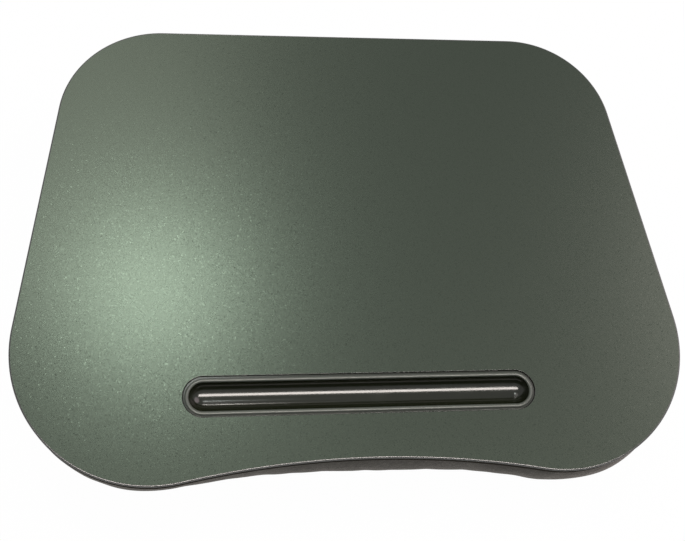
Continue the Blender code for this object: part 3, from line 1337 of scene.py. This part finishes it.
    def fill_out(self, skin: Piece, rows: list[SkinRow], stations: list[Station]) -> None:
        """Swells the skin with cloth pressure and limits how far each point travels.

        Args:
            skin: The skin.
            rows: Its rows, which say how firmly each is held.
            stations: The outline's stations.
        """
        before = [vert.co.copy() for vert in skin.data.vertices]
        noise.seed_set(self.jitter_seed)
        for vert in skin.data.vertices:
            vert.co += noise.noise_vector(vert.co * self.jitter_scale) * self.jitter
        group = skin.vertex_groups.new(name="hold")
        for level, row in enumerate(rows):
            members = range(level * len(stations), (level + 1) * len(stations))
            group.add(list(members), row.hold, "REPLACE")
        make_active(skin)
        cloth = skin.modifiers.new("cloth", "CLOTH")
        settings = cloth.settings
        settings.quality = self.cloth_quality
        settings.mass = self.cloth_mass
        settings.tension_stiffness = settings.compression_stiffness = self.stretch_stiffness
        settings.bending_stiffness = self.bend_stiffness
        settings.shrink_min = -self.slack
        settings.use_pressure = True
        settings.uniform_pressure_force = self.pressure
        settings.vertex_group_mass = group.name
        settings.pin_stiffness = 1.0
        settings.effector_weights.gravity = 0
        cloth.point_cache.frame_start, cloth.point_cache.frame_end = 1, self.frames
        for frame in range(1, self.frames + 1):
            bpy.context.scene.frame_set(frame)
        bpy.ops.object.modifier_apply(modifier=cloth.name)
        bpy.context.scene.frame_set(1)
        skin.vertex_groups.clear()
        for vert, start in zip(skin.data.vertices, before):
            moved = vert.co - start
            if moved.length > self.travel:
                moved *= self.travel / moved.length
            loose = smoothstep((self.taut_height - start.z) / self.taut_blend)
            vert.co = start + moved * (self.taut_share + (1 - self.taut_share) * loose)
            vert.co.z = max(vert.co.z, 0.0)

    def work_seam(self, skin: Piece) -> None:
        """Draws the stitched seam in, gathers the cloth along it and adds slack wrinkles above.

        Args:
            skin: The skin.
        """
        skin.data.update()
        normals = [vert.normal.copy() for vert in skin.data.vertices]
        for vert, normal in zip(skin.data.vertices, normals):
            height = vert.co.z
            if height < MERGE_DISTANCE or height > self.wrap_top():
                continue
            near = math.exp(-(((height - self.seam_height) / self.seam_reach) ** 2))
            around = math.atan2(vert.co.y, vert.co.x) * self.mean_radius / self.pucker_length
            gather = noise.noise(Vector((around, height * self.pucker_drift, self.pucker_seed)))
            flat = vert.co.xy * self.wrinkle_scale
            ripple = noise.noise(Vector((flat.x, flat.y, height * self.wrinkle_drift)))
            free = smoothstep((self.hem_top - height) / self.free_depth)
            free *= smoothstep(height / self.seam_reach)
            vert.co += normal * (near * self.pucker * gather + free * self.wrinkle * ripple)
        skin.data.update()

    def open_caps(self, skin: Piece) -> None:
        """Takes the large flat faces out, so that only the rows of quads are subdivided.

        Args:
            skin: The skin.
        """
        open_mesh(skin)
        pick(skin, Part.FACE, lambda face: len(face.verts) > QUAD)
        bpy.ops.mesh.delete(type="ONLY_FACE")
        close_mesh()

    def close_base(self, skin: Piece) -> None:
        """Fills the flat base that the cushion rests on.

        Args:
            skin: The skin, open at its base and its top.
        """
        open_mesh(skin)
        low = self.seam_height
        pick(skin, Part.EDGE, lambda edge: edge.is_boundary and edge.verts[0].co.z < low)
        bpy.ops.mesh.fill()
        mesh = bmesh.from_edit_mesh(skin.data)
        for face in mesh.faces:
            if face.select:
                face.material_index = Panel.BOTTOM.value
                face.smooth = True
        turn_out()
        close_mesh()

    def cut_bag(self, skin: Piece, liner: Material) -> Piece:
        """Copies the skin, draws it in by the cover's thickness and closes it under the backing.

        Args:
            skin: The skin.
            liner: The bag's material.

        Returns:
            The bag.
        """
        bag = copy_open(skin, "bead_bag")
        pick_all()
        bpy.ops.transform.shrink_fatten(value=-self.bag_inset, use_even_offset=True)
        pick_all()
        bpy.ops.mesh.bisect(plane_co=self.bag_top * UP, plane_no=UP, clear_outer=True)
        pick(bag, Part.EDGE, lambda edge: edge.is_boundary)
        bpy.ops.mesh.fill()
        face_out()
        coat(bag, liner)
        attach(bag, BODY)
        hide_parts("fill_bag")
        return bag

    def cut_panels(self, skin: Piece, fabric: Material) -> list[Piece]:
        """Separates the skin at its seams and gives each panel its thickness.

        Args:
            skin: The skin, which is used up.
            fabric: The cover's material.

        Returns:
            The panels.
        """
        names = {
            Panel.FRONT_BAND: ("cover_band_front", "side_band_front"),
            Panel.REAR_BAND: ("cover_band_rear", "side_band_rear"),
            Panel.BOTTOM: ("cover_bottom", "bottom_panel"),
        }
        made = []
        for panel, (name, node) in names.items():
            piece = copy_open(skin, name)
            pick(piece, Part.FACE, lambda face, wanted=panel.value: face.material_index != wanted)
            bpy.ops.mesh.delete(type="FACE")
            close_mesh()
            apply_modifier(
                piece, "SOLIDIFY", thickness=self.fabric, offset=-1, use_even_offset=True,
                use_quality_normals=True,
            )
            coat(piece, fabric)
            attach(piece, BODY)
            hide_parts(node)
            made.append(piece)
        bpy.data.objects.remove(skin)
        return made


@dataclass(frozen=True)
class InnerParts:
    """The backing panel and the mounting tapes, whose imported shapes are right."""

    backing: str = "backing_panel"
    tapes: tuple[str, ...] = ("mounting_tape_front", "mounting_tape_middle", "mounting_tape_rear")

    def dress(self, nodes: dict[str, Piece]) -> None:
        """Gives each its finish.

        Args:
            nodes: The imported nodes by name.
        """
        hardboard, foam = HARDBOARD.make(), FoamTape().make()
        self.paint(nodes[self.backing], hardboard)
        for name in self.tapes:
            self.paint(nodes[name], foam)

    def paint(self, node: Piece, material: Material) -> None:
        """Puts one material in every slot of a node."""
        for slot in node.material_slots:
            slot.material = material


@dataclass(frozen=True)
class Lamp:
    """A soft lamp, aimed at the board."""

    name: str
    place: tuple[float, float, float]
    size: tuple[float, float]
    radiance: float
    colour: tuple[float, float, float] = (1.0, 1.0, 1.0)
    round_shape: bool = True
    gloss_only: bool = False
    aim: tuple[float, float, float] = (0.0, 0.0, 0.06)

    def hang(self) -> None:
        """Adds the lamp. Its power follows from how bright its face is and how large."""
        data = bpy.data.lights.new(self.name, "AREA")
        data.shape = "ELLIPSE" if self.round_shape else "RECTANGLE"
        data.size, data.size_y = self.size
        area = self.size[0] * self.size[1] * (math.pi / 4 if self.round_shape else 1.0)
        data.energy = self.radiance * area * math.pi
        data.color = self.colour
        lamp = bpy.data.objects.new(self.name, data)
        lamp.location = self.place
        lamp.rotation_mode = "QUATERNION"
        lamp.rotation_quaternion = (Vector(self.aim) - Vector(self.place)).to_track_quat("-Z", "Y")
        lamp.visible_diffuse = not self.gloss_only
        lamp.visible_camera = False
        bpy.context.scene.collection.objects.link(lamp)


@dataclass
class Studio:
    """A plain pale floor under soft lamps, and the camera where the photograph was taken."""

    floor_size: float = 60.0
    floor_colour: tuple = (0.93, 0.93, 0.93, 1.0)
    floor_glow: float = 0.985
    sky_light: float = 0.535
    camera_place: tuple = (-0.088066, -0.216911, 0.593441)
    camera_forward: tuple = (0.14085345, 0.34421578, -0.92826494)
    camera_roll: float = 20.2251
    focal_length: float = 52.5606
    sensor: float = 36.0
    lamps: list[Lamp] = field(
        default_factory=lambda: [
            Lamp("key", (-0.2123, 0.656, 2.06), (0.3526, 0.3526), 24.9, (0.932, 1.0, 0.945)),
            Lamp("key_glow", (-0.529, 1.157, 2.06), (1.128, 1.128), 2.12, (1.07, 1.0, 0.97)),
            Lamp("side_panel", (2.04, 0.61, 1.7), (1.96, 1.96), 3.2, (1.22, 1.0, 1.07)),
            Lamp("front_window", (0.0, -0.84, 1.90), (2.6, 0.56), 28.0, (1.08, 1.0, 0.95), False, True),
            Lamp("tray_glint", (-0.02, 1.486, 1.28), (0.16, 0.08), 66.0, (1.06, 1.0, 0.93), False, True),
        ]
    )

    def build(self) -> None:
        """Sets up the floor, the sky, the lamps, the camera and the view."""
        self.lay_floor()
        self.light_sky()
        for lamp in self.lamps:
            lamp.hang()
        self.place_camera()
        bpy.context.scene.view_settings.view_transform = "Standard"

    def lay_floor(self) -> None:
        """A large pale floor that looks white but keeps the desk's soft shadow."""
        bpy.ops.object.select_all(action="DESELECT")
        bpy.ops.mesh.primitive_plane_add(size=self.floor_size, location=(0, 0, 0))
        floor = bpy.context.object
        floor.name = floor.data.name = "floor"
        material = bpy.data.materials.new("pale_floor")
        graph = Graph(material)
        graph.tree.nodes.clear()
        share = graph.math("MULTIPLY", graph.seen_share(), self.floor_glow)
        mix = graph.add("ShaderNodeMixShader", Fac=share)
        matt = graph.add("ShaderNodeBsdfDiffuse", Color=self.floor_colour)
        graph.feed(mix.inputs[1], matt.outputs["BSDF"])
        graph.feed(mix.inputs[2], graph.add("ShaderNodeEmission").outputs["Emission"])
        graph.add("ShaderNodeOutputMaterial", Surface=mix.outputs["Shader"])
        floor.data.materials.append(material)

    def light_sky(self) -> None:
        """An even pale sky: white where it is seen, and a little dimmer as light."""
        world = bpy.data.worlds.new("sky")
        bpy.context.scene.world = world
        graph = Graph(world)
        background = graph.tree.nodes["Background"]
        graph.feed(background.inputs["Color"], (1, 1, 1, 1))
        strength = graph.remap(graph.seen_share(), (0, 1), (self.sky_light, 1))
        graph.feed(background.inputs["Strength"], strength)

    def place_camera(self) -> None:
        """Puts the camera where the photograph was taken, rolled as the hand held it."""
        data = bpy.data.cameras.new("camera")
        data.sensor_width = self.sensor
        data.lens = self.focal_length
        data.clip_start, data.clip_end = 0.01, 100
        camera = bpy.data.objects.new("camera", data)
        camera.location = self.camera_place
        look = Vector(self.camera_forward).to_track_quat("-Z", "Y")
        camera.rotation_mode = "QUATERNION"
        camera.rotation_quaternion = look @ Quaternion(UP, math.radians(self.camera_roll))
        bpy.context.scene.collection.objects.link(camera)
        bpy.context.scene.camera = camera


def report(piece: Piece) -> None:
    """Logs a piece's name and how many faces it has."""
    log.info("%s: %d faces", piece.name, len(piece.data.polygons))


def main() -> None:
    """Builds the studio and every piece of the lap desk, in order."""
    logging.basicConfig(level=logging.INFO, format="%(name)s %(message)s")
    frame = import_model()
    Studio().build()
    outline = BoardOutline()
    shape = TrayShape(outline.depth)
    report(Board(outline, shape).build([GraphiteFilm().make(), FilmEdge().make(), EDGE_PAINTED_SHADE.make()]))
    report(PenTray(shape).build(TrayPlastic().make()))
    for piece in Cushion(outline).build(CoverFabric().make(), Liner().make()):
        report(piece)
    InnerParts().dress(frame["nodes"])


if __name__ == "__main__":
    main()
